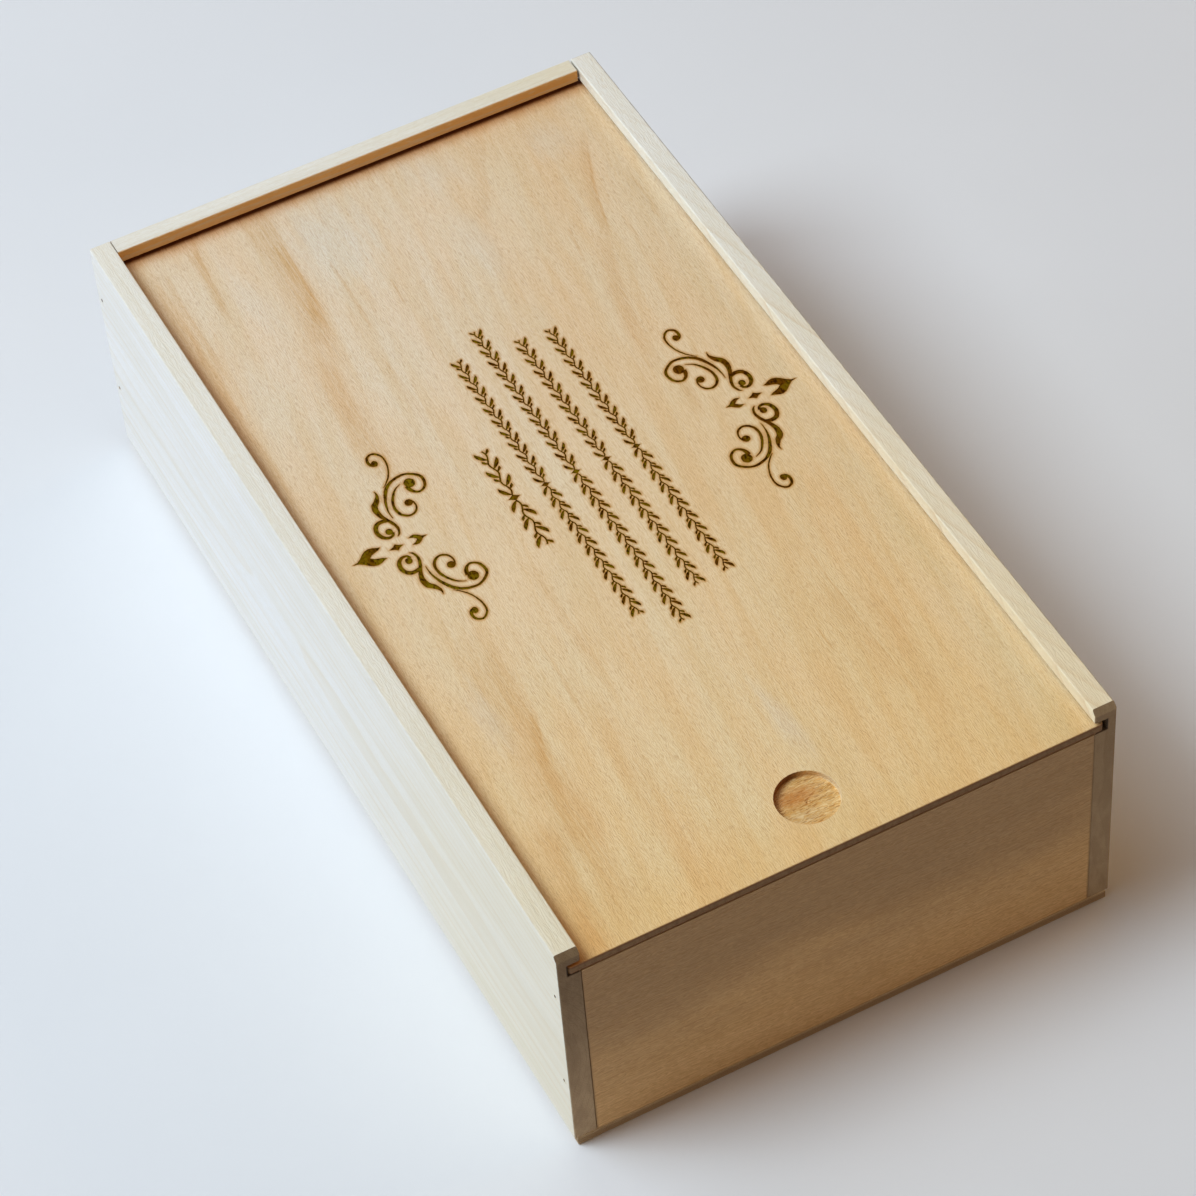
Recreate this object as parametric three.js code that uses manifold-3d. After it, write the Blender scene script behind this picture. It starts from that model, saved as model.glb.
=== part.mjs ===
// Wooden box with a sliding lid, in millimetres.
// The length runs along Y with the open front at -Y, the width along X, and the base rests on z = 0.
import * as THREE from "three";
import { mergeVertices } from "three/addons/utils/BufferGeometryUtils.js";
import Module from "manifold-3d";

const wasm = await Module();
wasm.setup();

// Closed box, over everything
const boxLength = 360;
const boxWidth = 200;
const boxHeight = 100;

// Boards
const sideThickness = 8;
const endThickness = 7;
const baseThickness = 4;
const baseSetback = 1; // how far the base stands in from each side board's outer face
const glueLine = 0.1;
const backEndGap = 0.8; // the back panel is cut short, and shows an open joint at its right end

// Lid track: one groove height for the two side boards and the back panel
const lipHeight = 5.3; // wood left above the groove
const grooveHeight = 5;
const sideGrooveDepth = 4.5;
const backGrooveDepth = 3.5;

// Lid
const lidThickness = 3.6;
const lidFloorGap = 0.2; // under the lid
const lidRestGap = 0.3; // beside the lid's left edge, where it lies against the groove
const lidSidePlay = 1.5; // both sides together
const lidEndGap = 0.5; // behind the lid
const lidCornerRadius = 1.2;

// Finger recess in the lid
const recessRadius = 10.7;
const recessDepth = 2;
const recessFloorRadius = 0.7;
const recessSetback = 21.3; // from the lid's front edge to the recess's centre
const centreMarkRadius = 0.8;
const centreMarkDepth = 0.6;
const recessSegments = 64;

// Edges
const frontChamfer = 2; // on the side boards' front top corners
const boardArris = 0.6; // radius left by sanding along the boards
const endArris = 0.3; // flat left by sanding on the boards' end grain
const lidArris = 0.4;
const baseArris = 0.4;
const arrisSegments = 3;

// Brads that pin the corners and the base
const shankRadius = 0.5;
const headRadius = 0.8;
const headThickness = 0.6;
const pointLength = 1.5;
const cornerBradLength = 22;
const baseBradLength = 15;
const bradFit = 0.15; // round the shank and the head
const headSet = 0.3; // how far a head lies under the surface
const bradSegments = 12;
const bradHeightShares = [0.32, 0.77]; // of the box's height
const cornerBradNames = ["low", "high"];
const sideBradShares = [-0.44, -0.15, 0.15, 0.44]; // of the box's length
const endBradShares = [-0.22, 0.22]; // of the box's width

// One length by which every cutter runs past the wood that it cuts
const overrun = 2;

// Levels and faces worked out from the sizes above
const frontFace = -boxLength / 2;
const backFace = boxLength / 2;
const boardBottom = baseThickness + glueLine;
const grooveTop = boxHeight - lipHeight;
const grooveFloor = grooveTop - grooveHeight;
const innerHalfWidth = boxWidth / 2 - sideThickness;
const grooveHalfSpan = innerHalfWidth + sideGrooveDepth;
const backInnerFace = backFace - endThickness;
const backGrooveEnd = backInnerFace + backGrooveDepth;

const quarterTurn = Math.PI / 2;

// Joining and cutting

function solidOf(geometry) {
  const bare = geometry.clone();
  bare.deleteAttribute("normal");
  bare.deleteAttribute("uv");
  const merged = mergeVertices(bare);
  return new wasm.Manifold(
    new wasm.Mesh({
      numProp: 3,
      vertProperties: merged.attributes.position.array,
      triVerts: new Uint32Array(merged.index.array),
    }),
  );
}

function geometryOf(solid) {
  const mesh = solid.getMesh();
  const geometry = new THREE.BufferGeometry();
  geometry.setAttribute("position", new THREE.BufferAttribute(mesh.vertProperties, mesh.numProp));
  geometry.setIndex(new THREE.BufferAttribute(mesh.triVerts, 1));
  return geometry;
}

function cut(geometry, cutters) {
  let solid = solidOf(geometry);
  for (const cutter of cutters) {
    solid = solid.subtract(solidOf(cutter));
  }
  return geometryOf(solid);
}

// Outlines and pieces of wood

// A closed outline from corners given as [x, y, radius], each rounded by its own radius.
function roundedOutline(corners) {
  const shape = new THREE.Shape();
  corners.forEach(([x, y, radius], index) => {
    const corner = new THREE.Vector2(x, y);
    const [beforeX, beforeY] = corners[(index + corners.length - 1) % corners.length];
    const [afterX, afterY] = corners[(index + 1) % corners.length];
    const toBefore = new THREE.Vector2(beforeX, beforeY).sub(corner).setLength(radius);
    const toAfter = new THREE.Vector2(afterX, afterY).sub(corner).setLength(radius);
    const start = corner.clone().add(toBefore);
    const end = corner.clone().add(toAfter);
    if (index === 0) {
      shape.moveTo(start.x, start.y);
    } else {
      shape.lineTo(start.x, start.y);
    }
    if (radius > 0) {
      shape.quadraticCurveTo(x, y, end.x, end.y);
    }
  });
  shape.closePath();
  return shape;
}

// A prism of an outline, with its two flat ends eased by a small flat.
function prism(shape, depth, ease) {
  return new THREE.ExtrudeGeometry(shape, {
    depth: depth - 2 * ease,
    curveSegments: arrisSegments,
    bevelEnabled: ease > 0,
    bevelThickness: ease,
    bevelSize: ease,
    bevelOffset: -ease,
    bevelSegments: 1,
  }).translate(0, 0, ease);
}

// Section in X and Z, running back to front from the given y.
function alongLength(shape, depth, backY, ease) {
  return prism(shape, depth, ease).rotateX(quarterTurn).translate(0, backY, 0);
}

// Section in Y and Z, running left to right from the given x.
function alongWidth(shape, depth, leftX, ease) {
  return prism(shape, depth, ease).rotateX(quarterTurn).rotateZ(quarterTurn).translate(leftX, 0, 0);
}

// Outline in X and Y, rising from the given z.
function rising(shape, depth, bottomZ, ease) {
  return prism(shape, depth, ease).translate(0, 0, bottomZ);
}

// Brads: a headed pin, and the hole that takes it

function bradShape(length, grow) {
  const radius = shankRadius + grow;
  const seat = length - headThickness;
  const profile = [
    new THREE.Vector2(0, -grow),
    new THREE.Vector2(radius, pointLength - grow),
    new THREE.Vector2(radius, seat),
    new THREE.Vector2(headRadius + grow, seat),
    new THREE.Vector2(headRadius + grow, length + (grow > 0 ? overrun : 0)),
    new THREE.Vector2(0, length + (grow > 0 ? overrun : 0)),
  ];
  return new THREE.LatheGeometry(profile, bradSegments);
}

// Each brad has its length, the place of its tip and the turn that carries its head outwards.
function turnedTo(geometry, brad) {
  return geometry
    .applyQuaternion(brad.turn)
    .translate(brad.tip.x, brad.tip.y, brad.tip.z);
}

function bradHole(brad) {
  return turnedTo(bradShape(brad.length, bradFit), brad);
}

const headLeft = new THREE.Quaternion().setFromAxisAngle(new THREE.Vector3(0, 0, 1), quarterTurn);
const headRight = new THREE.Quaternion().setFromAxisAngle(new THREE.Vector3(0, 0, 1), -quarterTurn);
const headDown = new THREE.Quaternion().setFromAxisAngle(new THREE.Vector3(1, 0, 0), -quarterTurn);

const endCentres = {
  front: frontFace + endThickness / 2,
  back: backFace - endThickness / 2,
};
const sideCentre = boxWidth / 2 - sideThickness / 2;

const cornerBrads = [];
for (const [side, sign, turn] of [["left", -1, headLeft], ["right", 1, headRight]]) {
  for (const end of ["front", "back"]) {
    bradHeightShares.forEach((share, index) => {
      const tipX = sign * (boxWidth / 2 - headSet - cornerBradLength);
      cornerBrads.push({
        name: `brad_${side}_${end}_${cornerBradNames[index]}`,
        side,
        end,
        turn,
        length: cornerBradLength,
        tip: new THREE.Vector3(tipX, endCentres[end], share * boxHeight),
      });
    });
  }
}

const baseTipZ = headSet + baseBradLength;
const baseBrads = [];
for (const [side, sign] of [["left", -1], ["right", 1]]) {
  sideBradShares.forEach((share, index) => {
    baseBrads.push({
      name: `base_brad_${side}_${index + 1}`,
      side,
      turn: headDown,
      length: baseBradLength,
      tip: new THREE.Vector3(sign * sideCentre, share * boxLength, baseTipZ),
    });
  });
}
for (const end of ["front", "back"]) {
  endBradShares.forEach((share, index) => {
    baseBrads.push({
      name: `base_brad_${end}_${index + 1}`,
      end,
      turn: headDown,
      length: baseBradLength,
      tip: new THREE.Vector3(share * boxWidth, endCentres[end], baseTipZ),
    });
  });
}
const brads = [...cornerBrads, ...baseBrads];

// Left side board: a grooved section run the full length, then its front top corner is taken off.
// The right one is its mirror image.

function sideBoardGeometry() {
  const outer = -boxWidth / 2;
  const inner = -innerHalfWidth;
  const grooveWall = -grooveHalfSpan;
  const section = roundedOutline([
    [outer, boardBottom, 0],
    [inner, boardBottom, 0],
    [inner, grooveFloor, boardArris],
    [grooveWall, grooveFloor, 0],
    [grooveWall, grooveTop, 0],
    [inner, grooveTop, boardArris],
    [inner, boxHeight, boardArris],
    [outer, boxHeight, boardArris],
  ]);
  const board = alongLength(section, boxLength, backFace, endArris);

  const chamferPrism = roundedOutline([
    [frontFace - overrun, boxHeight - frontChamfer - overrun, 0],
    [frontFace + frontChamfer + overrun, boxHeight + overrun, 0],
    [frontFace - overrun, boxHeight + overrun, 0],
  ]);
  const chamferLength = sideThickness + 2 * overrun;
  const chamfer = alongWidth(chamferPrism, chamferLength, outer - overrun, 0);

  const holes = brads.filter((brad) => brad.side === "left").map(bradHole);
  return cut(board, [chamfer, ...holes]);
}

// Front panel: stops at the groove's floor, so that the lid slides out over it.

function frontPanelGeometry() {
  const innerFace = frontFace + endThickness;
  const section = roundedOutline([
    [frontFace, boardBottom, 0],
    [innerFace, boardBottom, 0],
    [innerFace, grooveFloor, boardArris],
    [frontFace, grooveFloor, endArris],
  ]);
  const left = -innerHalfWidth + glueLine;
  const board = alongWidth(section, 2 * -left, left, 0);
  const holes = brads.filter((brad) => brad.end === "front").map(bradHole);
  return cut(board, holes);
}

// Back panel: as high as the side boards, grooved for the lid's back edge.

function backPanelGeometry() {
  const section = roundedOutline([
    [backFace, boardBottom, 0],
    [backFace, boxHeight, boardArris],
    [backInnerFace, boxHeight, boardArris],
    [backInnerFace, grooveTop, boardArris],
    [backGrooveEnd, grooveTop, 0],
    [backGrooveEnd, grooveFloor, 0],
    [backInnerFace, grooveFloor, boardArris],
    [backInnerFace, boardBottom, 0],
  ]);
  const left = -innerHalfWidth + glueLine;
  const right = innerHalfWidth - backEndGap;
  const board = alongWidth(section, right - left, left, 0);
  const holes = brads.filter((brad) => brad.end === "back").map(bradHole);
  return cut(board, holes);
}

// Base: a sheet under all four boards, set in a little from the side boards' faces.

function basePanelGeometry() {
  const halfWidth = boxWidth / 2 - baseSetback;
  const outline = roundedOutline([
    [-halfWidth, frontFace, 0],
    [halfWidth, frontFace, 0],
    [halfWidth, backFace, 0],
    [-halfWidth, backFace, 0],
  ]);
  const sheet = rising(outline, baseThickness, 0, baseArris);
  return cut(sheet, baseBrads.map(bradHole));
}

// Lid: a thin sheet with eased edges and a round finger recess near its front edge.

const lidBottom = grooveFloor + lidFloorGap;
const lidTop = lidBottom + lidThickness;
const lidLeft = -grooveHalfSpan + lidRestGap;
const lidRight = lidLeft + 2 * grooveHalfSpan - lidSidePlay;
const lidBack = backGrooveEnd - lidEndGap;

// The cutter's profile, turned about its axis: pocket wall, rounded floor corner and centre mark.
function recessCutter() {
  const profile = new THREE.Path();
  profile.moveTo(0, -centreMarkDepth);
  profile.lineTo(centreMarkRadius, 0);
  profile.lineTo(recessRadius - recessFloorRadius, 0);
  profile.quadraticCurveTo(recessRadius, 0, recessRadius, recessFloorRadius);
  profile.lineTo(recessRadius, recessDepth + overrun);
  profile.lineTo(0, recessDepth + overrun);
  return new THREE.LatheGeometry(profile.getPoints(arrisSegments), recessSegments)
    .rotateX(quarterTurn)
    .translate((lidLeft + lidRight) / 2, frontFace + recessSetback, lidTop - recessDepth);
}

function lidGeometry() {
  const outline = roundedOutline([
    [lidLeft, frontFace, lidCornerRadius],
    [lidRight, frontFace, lidCornerRadius],
    [lidRight, lidBack, lidCornerRadius],
    [lidLeft, lidBack, lidCornerRadius],
  ]);
  const sheet = rising(outline, lidThickness, lidBottom, lidArris);
  return cut(sheet, [recessCutter()]);
}

// Finishes

const paleWood = { color: 0xd9d3bd, roughness: 0.75, metalness: 0 };
const endWood = { color: 0xc9a878, roughness: 0.75, metalness: 0 };
const lidWood = { color: 0xdcc090, roughness: 0.65, metalness: 0 };
const baseWood = { color: 0xc0a076, roughness: 0.8, metalness: 0 };
const steel = { color: 0x9a9a98, roughness: 0.35, metalness: 1 };

function named(name, geometry, finish) {
  const mesh = new THREE.Mesh(geometry, new THREE.MeshStandardMaterial(finish));
  mesh.name = name;
  return mesh;
}

// Assembly: everything fixed is in the case, and the lid slides towards -Y in its track.

const box = new THREE.Group();
box.name = "sliding_lid_box";

const caseGroup = new THREE.Group();
caseGroup.name = "case";
box.add(caseGroup);

caseGroup.add(named("left_side", sideBoardGeometry(), paleWood));
const rightSide = named("right_side", sideBoardGeometry(), paleWood);
rightSide.scale.x = -1;
caseGroup.add(rightSide);
caseGroup.add(named("front_panel", frontPanelGeometry(), endWood));
caseGroup.add(named("back_panel", backPanelGeometry(), paleWood));
caseGroup.add(named("base_panel", basePanelGeometry(), baseWood));

for (const brad of brads) {
  const pin = named(brad.name, bradShape(brad.length, 0), steel);
  pin.quaternion.copy(brad.turn);
  pin.position.copy(brad.tip);
  caseGroup.add(pin);
}

box.add(named("lid", lidGeometry(), lidWood));

export default box;
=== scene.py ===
# %% [markdown]
# # A wooden box with an engraved sliding lid
#
# This lesson dresses a finished set of wooden pieces: five boards, a lid and the brads that pin
# them. The pieces come from the construction model at their real size and place, in metres, with
# the length along Y and the open front at -Y. What is left to do here is what the eye judges: bare
# wood with its grain, a lid burnt by a laser, soft daylight and the right camera.

import math
import random

import bmesh
import bpy
import numpy as np
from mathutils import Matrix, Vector
from mathutils.geometry import delaunay_2d_cdt
from mathutils.kdtree import KDTree


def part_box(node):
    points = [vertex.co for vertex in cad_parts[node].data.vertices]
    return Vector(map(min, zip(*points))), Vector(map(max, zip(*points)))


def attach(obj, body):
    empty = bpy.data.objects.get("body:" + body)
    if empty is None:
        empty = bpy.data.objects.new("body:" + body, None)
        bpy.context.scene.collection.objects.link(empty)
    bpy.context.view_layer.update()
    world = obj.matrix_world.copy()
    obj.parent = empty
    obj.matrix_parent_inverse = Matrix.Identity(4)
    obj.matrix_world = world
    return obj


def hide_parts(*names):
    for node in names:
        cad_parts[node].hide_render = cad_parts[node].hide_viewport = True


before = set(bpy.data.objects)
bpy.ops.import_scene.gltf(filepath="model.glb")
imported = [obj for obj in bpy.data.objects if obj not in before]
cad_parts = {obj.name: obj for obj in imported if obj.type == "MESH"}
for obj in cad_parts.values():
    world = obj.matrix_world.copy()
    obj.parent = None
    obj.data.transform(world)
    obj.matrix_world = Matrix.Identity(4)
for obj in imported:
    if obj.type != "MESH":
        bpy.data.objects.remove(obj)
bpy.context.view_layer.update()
MM = 0.001


def box_mm(name):
    """The low and the high corner of a CAD node's box, in millimetres."""
    return [[value / MM for value in corner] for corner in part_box(name)]


for name in ("left_side", "front_panel", "lid"):
    print(name, "measures", [round(b - a, 1) for a, b in zip(*box_mm(name))], "mm")

# %% [markdown]
# ## The camera
#
# The picture was taken from the front left, from above, with a long lens. A camera can be set by a
# rotation table, but a place, a point to aim at and a small roll say the same in words that a
# photographer would use, and they are easy to change.

# %% Camera
CAMERA_PLACE = Vector((-399.8, -910.0, 1162.8)) * MM
CAMERA_AIM = Vector((-3.07, -16.76, 50.0)) * MM
CAMERA_ROLL = math.radians(4.99)
CAMERA_LENS = 130.83  # millimetres, on a sensor 36 mm wide


def make_camera():
    """The camera of the main picture, with no shift and no blur."""
    data = bpy.data.cameras.new("camera")
    data.lens = CAMERA_LENS
    data.sensor_width = 36.0
    data.clip_start = 0.05
    data.clip_end = 50.0
    camera = bpy.data.objects.new("camera", data)
    bpy.context.scene.collection.objects.link(camera)
    camera.location = CAMERA_PLACE
    camera.rotation_euler = (CAMERA_AIM - CAMERA_PLACE).to_track_quat("-Z", "Y").to_euler()
    camera.rotation_euler.rotate_axis("Z", -CAMERA_ROLL)
    bpy.context.scene.camera = camera


make_camera()
bpy.context.scene.view_settings.view_transform = "Standard"
print("camera stands", round((CAMERA_AIM - CAMERA_PLACE).length, 3), "m from the box")

# %% [markdown]
# ## Small helpers for shader nodes
#
# Every finish below is a network of nodes, and writing each node out takes four or five lines. So a
# node's output is wrapped as a wire, which can be added and multiplied like a number, and a few
# short helpers do the rest: put a node, ask for noise, pick a window of values, and lay one colour
# over another. Colours are written as a painter reads them from a chart, 0 to 255.


# %% Colours, nodes and wires
def paint(red, green, blue):
    """A chart colour, 0 to 255, as the linear values that a shader takes."""
    steps = [value / 255 for value in (red, green, blue)]
    linear = [v / 12.92 if v <= 0.04045 else ((v + 0.055) / 1.055) ** 2.4 for v in steps]
    return (*linear, 1.0)


WHITE = (255, 255, 255)


class Wire:
    """A value on its way between nodes. A plain sum on it puts the node that does the sum."""

    def __init__(self, socket):
        self.socket = socket
        self.tree = socket.id_data

    def __add__(self, other):
        return calc("ADD", self, other)

    def __sub__(self, other):
        return calc("SUBTRACT", self, other)

    def __rsub__(self, other):
        return calc("SUBTRACT", other, self)

    def __mul__(self, other):
        return calc("MULTIPLY", self, other)

    def __truediv__(self, other):
        return calc("DIVIDE", self, other)

    def __rtruediv__(self, other):
        return calc("DIVIDE", other, self)

    def siblings(self):
        """All the outputs of the node that the wire comes from, by name."""
        return {output.name: Wire(output) for output in self.socket.node.outputs}


def put(tree, kind, values=None, output=0, **settings):
    """Adds a node and gives one of its outputs. values go to its sockets, as numbers or wires."""
    node = tree.nodes.new(kind)
    for name, value in settings.items():
        setattr(node, name, value)
    for socket, value in (values or {}).items():
        if isinstance(value, Wire):
            tree.links.new(value.socket, node.inputs[socket])
        else:
            node.inputs[socket].default_value = value
    return Wire(node.outputs[output]) if node.outputs else None


def join(kind, values, output=0, **settings):
    """Adds a node beside those that its values come from."""
    tree = next(value.tree for value in values.values() if isinstance(value, Wire))
    return put(tree, kind, values, output, **settings)


def calc(operation, *values, clamp=False):
    """One sum on plain numbers."""
    return join("ShaderNodeMath", dict(enumerate(values)), operation=operation, use_clamp=clamp)


def move(operation, *values):
    """One sum on vectors. A length or a dot product comes back as a number."""
    output = "Value" if operation in ("LENGTH", "DOT_PRODUCT") else "Vector"
    return join("ShaderNodeVectorMath", dict(enumerate(values)), output, operation=operation)


def split(vector):
    """The three numbers of a vector."""
    return list(join("ShaderNodeSeparateXYZ", {0: vector}).siblings().values())


def noise(place, scale, detail, rough=0.5, twist=0.0):
    """Soft noise from 0 to 1. scale is one number, or one for each direction."""
    if isinstance(scale, tuple):
        place = move("MULTIPLY", place, scale)
        scale = 1.0
    sockets = {"Vector": place, "Scale": scale, "Detail": detail, "Roughness": rough, "Distortion": twist}
    return join("ShaderNodeTexNoise", sockets)


def window(value, start, end, low=0.0, high=1.0):
    """low before start, high after end, and a smooth rise or fall between them."""
    sockets = {0: value, 1: start, 2: end, 3: low, 4: high}
    return join("ShaderNodeMapRange", sockets, interpolation_type="SMOOTHSTEP")


def band(value, start, full, fade, end):
    """1 from full to fade, and 0 before start and after end."""
    return window(value, start, full) * window(value, fade, end, 1.0, 0.0)


def lay(mask, under, over, mode="MIX"):
    """Lays one colour over another where the mask is 1. A colour is a wire or three chart values."""
    under, over = (paint(*tone) if isinstance(tone, tuple) else tone for tone in (under, over))
    return join("ShaderNodeMix", {0: mask, 6: under, 7: over}, 2, data_type="RGBA", blend_type=mode)


def shade(colour, mask, zero, one):
    """Tints a colour: by the colour zero where the mask is 0, by the colour one where it is 1."""
    return lay(1.0, colour, lay(mask, zero, one), "MULTIPLY")


print("helpers ready")


# %% Groups and materials
def start_group(name, inputs, outputs):
    """A node group, with a starting value for each input. Gives the group and its inputs as wires."""
    group = bpy.data.node_groups.new(name, "ShaderNodeTree")
    for label, start in inputs.items():
        kind = "NodeSocketFloat" if isinstance(start, float) else "NodeSocketVector"
        group.interface.new_socket(label, in_out="INPUT", socket_type=kind).default_value = start
    for label in outputs:
        group.interface.new_socket(label, in_out="OUTPUT", socket_type="NodeSocketFloat")
    source = group.nodes.new("NodeGroupInput").outputs
    return group, {label: Wire(source[label]) for label in inputs}


def end_group(group, **wires):
    """Sends wires to the group's outputs."""
    sink = group.nodes.new("NodeGroupOutput").inputs
    for label, wire in wires.items():
        group.links.new(wire.socket, sink[label])
    print("made the group", group.name)
    return group


def use(group, **values):
    """Places a group and gives its outputs by name. A socket's spaces are written as underscores."""
    sockets = {label.replace("_", " "): value for label, value in values.items()}
    return join("ShaderNodeGroup", sockets, node_tree=group).siblings()


def start_material(name):
    """An empty material and the place to put its nodes."""
    material = bpy.data.materials.new(name)
    material.use_nodes = True
    material.node_tree.nodes.clear()
    return material, material.node_tree


def end_material(colour, rough, height, strength, depth, **sockets):
    """Closes a material with its shader. strength and depth (in metres) are those of its relief."""
    relief = join("ShaderNodeBump", {"Strength": strength, "Distance": depth, "Height": height})
    values = {"Base Color": colour, "Roughness": rough, "Normal": relief}
    values |= {label.replace("_", " "): value for label, value in sockets.items()}
    put(colour.tree, "ShaderNodeOutputMaterial", {"Surface": join("ShaderNodeBsdfPrincipled", values)})


print("groups and materials can be made")

# %% [markdown]
# ## Table top and daylight
#
# The box stands on a plain pale table beside a wide window. The window is to the left and a little
# behind, so the left face and all the tops are bright, the front face gets only what the room sends
# back, and the shadow falls to the right with a soft edge. Broad area lamps give that softness. The
# world stands for the room, which is warmer and much dimmer than the window. For the eye of the
# camera, and in reflections, the world is a pale backdrop instead.

# %% Table top
FLOOR_HALF = 6.0
FLOOR_DROP = 0.05 * MM
FLOOR_LIGHT = (230, 230, 231)
FLOOR_DARK = (225, 225, 226)


def make_floor():
    """A pale, smooth, faintly mottled table top, a hair under the box."""
    corners = [(-1, -1), (1, -1), (1, 1), (-1, 1)]
    mesh = bpy.data.meshes.new("table_top")
    mesh.from_pydata([(x * FLOOR_HALF, y * FLOOR_HALF, 0) for x, y in corners], [], [(0, 1, 2, 3)])
    floor = bpy.data.objects.new("table_top", mesh)
    bpy.context.scene.collection.objects.link(floor)
    floor.location.z = -FLOOR_DROP

    material, tree = start_material("pale table paint")
    place = put(tree, "ShaderNodeTexCoord", output="Object")
    grit = noise(place, 900.0, 2.0)
    colour = lay(noise(place, 9.0, 4.0), FLOOR_DARK, FLOOR_LIGHT)
    end_material(colour, window(grit, 0.2, 0.8, 0.62, 0.72), grit, 0.08, 0.0003)
    mesh.materials.append(material)


make_floor()
print("table top is", 2 * FLOOR_HALF, "m wide")

# %% Window light and room light
MIDDLE_HEIGHT = 0.05
BOX_MIDDLE = Vector((0.0, 0.0, MIDDLE_HEIGHT))
WINDOW_DISTANCE = 3.0
LAMP_HEIGHT = 1.2
SKY = (0.785, 0.907, 1.0)
LOW_SKY = (0.64, 0.74, 0.94)
FAR_SKY = (0.5, 0.68, 1.0)
EMBER = (1.0, 0.62, 0.24)


def soft_lamp(name, place, width, watts, colour):
    """A broad area lamp that faces the box."""
    data = bpy.data.lights.new(name, "AREA")
    data.shape = "RECTANGLE"
    data.size = width
    data.size_y = LAMP_HEIGHT
    data.energy = watts
    data.color = colour
    lamp = bpy.data.objects.new(name, data)
    bpy.context.scene.collection.objects.link(lamp)
    lamp.location = place
    lamp.rotation_euler = (BOX_MIDDLE - lamp.location).to_track_quat("-Z", "Y").to_euler()


def window_place(turn, height):
    """A place at window distance: turned from the left towards the back, and raised, in degrees."""
    turn, height = math.radians(turn), math.radians(height)
    level = WINDOW_DISTANCE * math.cos(height)
    rise = WINDOW_DISTANCE * math.sin(height)
    return (-level * math.cos(turn), level * math.sin(turn), MIDDLE_HEIGHT + rise)


soft_lamp("window", window_place(15, 52), 1.2, 60.4, SKY)
soft_lamp("window_top", window_place(15, 74), 1.2, 16.0, SKY)
soft_lamp("window_behind", window_place(50, 52), 1.2, 14.0, SKY)
soft_lamp("window_low", window_place(50, 12), 1.2, 23.5, LOW_SKY)
soft_lamp("window_near", window_place(-20, 12), 1.2, 6.3, LOW_SKY)
soft_lamp("window_far", window_place(115, 14), 1.2, 2.2, FAR_SKY)
soft_lamp("room_lamp", (2.4, 0.0, 1.2), 1.6, 11.5, EMBER)
soft_lamp("room_front", (0.2, -2.4, 1.2), 1.6, 3.2, EMBER)

# %% The room and the backdrop
ROOM_COLOUR = (1.0, 0.60, 0.38, 1.0)
ROOM_STRENGTH = 0.095
BACKDROP_COLOUR = paint(226, 229, 233)


def make_world():
    """The warm room for the light, and a pale backdrop for the eye and for reflections."""
    world = bpy.data.worlds.new("room")
    world.use_nodes = True
    tree = world.node_tree
    tree.nodes.clear()
    ray = put(tree, "ShaderNodeLightPath").siblings()
    seen = calc("MAXIMUM", ray["Is Camera Ray"], ray["Is Glossy Ray"])
    seen = calc("MAXIMUM", seen, ray["Is Transmission Ray"])
    room = put(tree, "ShaderNodeBackground", {"Color": ROOM_COLOUR, "Strength": ROOM_STRENGTH})
    backdrop = put(tree, "ShaderNodeBackground", {"Color": BACKDROP_COLOUR, "Strength": 1.0})
    mix = join("ShaderNodeMixShader", {0: seen, 1: room, 2: backdrop})
    put(tree, "ShaderNodeOutputWorld", {"Surface": mix})
    bpy.context.scene.world = world


make_world()
print("the world is", bpy.context.scene.world.name)

# %% [markdown]
# ## What wood is made of
#
# A plank is a slice of a trunk. Its lines are the growth rings, cut open, so they can be drawn as
# they grew: circles round a pith line that runs along the grain, a little wavy, and cut by the
# surface of the board. Faces, edges and ends then match at every corner, which a flat picture of
# grain can't do. Over the rings lie fibres, which run with the grain, and fine pores. Each of these
# is a group, so that every board can set its own pith, ring width and contrast.
#
# All groups take the same place: millimetres, with X along the grain, Y across the board and Z
# through its thickness.


# %% Place along the grain
def grain_place(tree, order):
    """The place in millimetres, turned so that X runs along the grain. "YZX": the grain is along Y."""
    here = put(tree, "ShaderNodeTexCoord", output="Object")
    parts = split(move("MULTIPLY", here, (1 / MM, 1 / MM, 1 / MM)))
    return join("ShaderNodeCombineXYZ", {i: parts["XYZ".index(axis)] for i, axis in enumerate(order)})


def facing(tree):
    """The direction in which the surface faces, as three numbers."""
    return split(put(tree, "ShaderNodeTexCoord", output="Normal"))


# %% Growth rings
LATE_POWER = 4.5  # the higher, the narrower the dark late wood of each ring
LENGTHWISE = 0.012  # how much a step along the trunk counts beside a step across it


def make_ring_group():
    """Rings round the pith. Ring rises slowly and falls fast; Year differs from ring to ring.

    Lean is how far the pith moves through the thickness for each millimetre along the board.
    """
    inputs = {"Place": (0, 0, 0), "Pith": (0, 0, 0), "Ring Width": 2.0, "Wander": 1.0, "Lean": 0.0}
    group, source = start_group("growth rings", inputs, ("Ring", "Year"))
    sway = (noise(source["Place"], (0.006, 0.02, 0.02), 3.0, 0.45) - 0.5) * source["Wander"]
    ray = move("SUBTRACT", source["Place"], source["Pith"])
    leaning = join("ShaderNodeCombineXYZ", {2: split(ray)[0] * source["Lean"]})
    ray = move("MULTIPLY", move("ADD", ray, leaning), (LENGTHWISE, 1.0, 1.0))
    age = (move("LENGTH", ray) + sway) / source["Ring Width"]
    part = calc("FRACT", age)
    ring = calc("POWER", part, LATE_POWER) * window(part, 0.93, 1.0, 1.0, 0.0)
    year = join("ShaderNodeTexWhiteNoise", {"W": calc("FLOOR", age)}, noise_dimensions="1D")
    return end_group(group, Ring=ring, Year=year)


ring_group = make_ring_group()


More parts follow.
